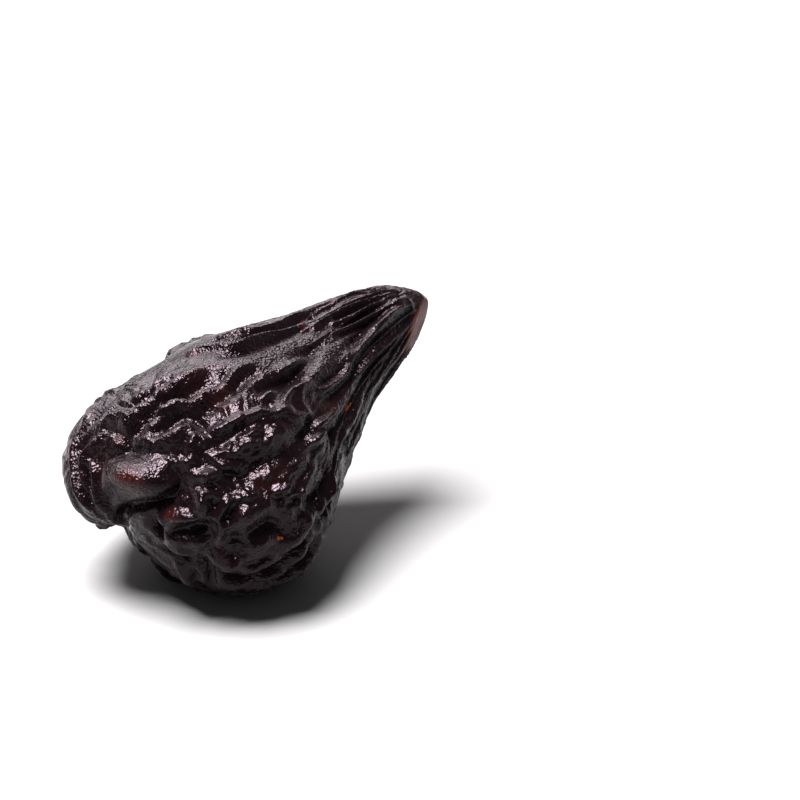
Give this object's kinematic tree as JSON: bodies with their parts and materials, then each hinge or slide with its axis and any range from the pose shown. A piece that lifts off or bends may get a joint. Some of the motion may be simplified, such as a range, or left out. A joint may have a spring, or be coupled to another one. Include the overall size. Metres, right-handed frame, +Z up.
{
  "type": "dried fig",
  "caption": "One dried black fig lying on its side: a wrinkled round bulb with a sunken eye, a ridged tapering neck and a slantwise cut stem.",
  "frame": {"origin": "centre of the object's footprint, on the surface that it lies on", "axes": "+X along the fruit from the eye towards the stem, +Z up"},
  "size_m": [0.0416, 0.0266, 0.0247],
  "materials": {
    "fig_skin": "glossy, near-black brown with red-brown patches"
  },
  "bodies": {
    "root": {"fig": "fig_skin"}
  },
  "joints": []
}
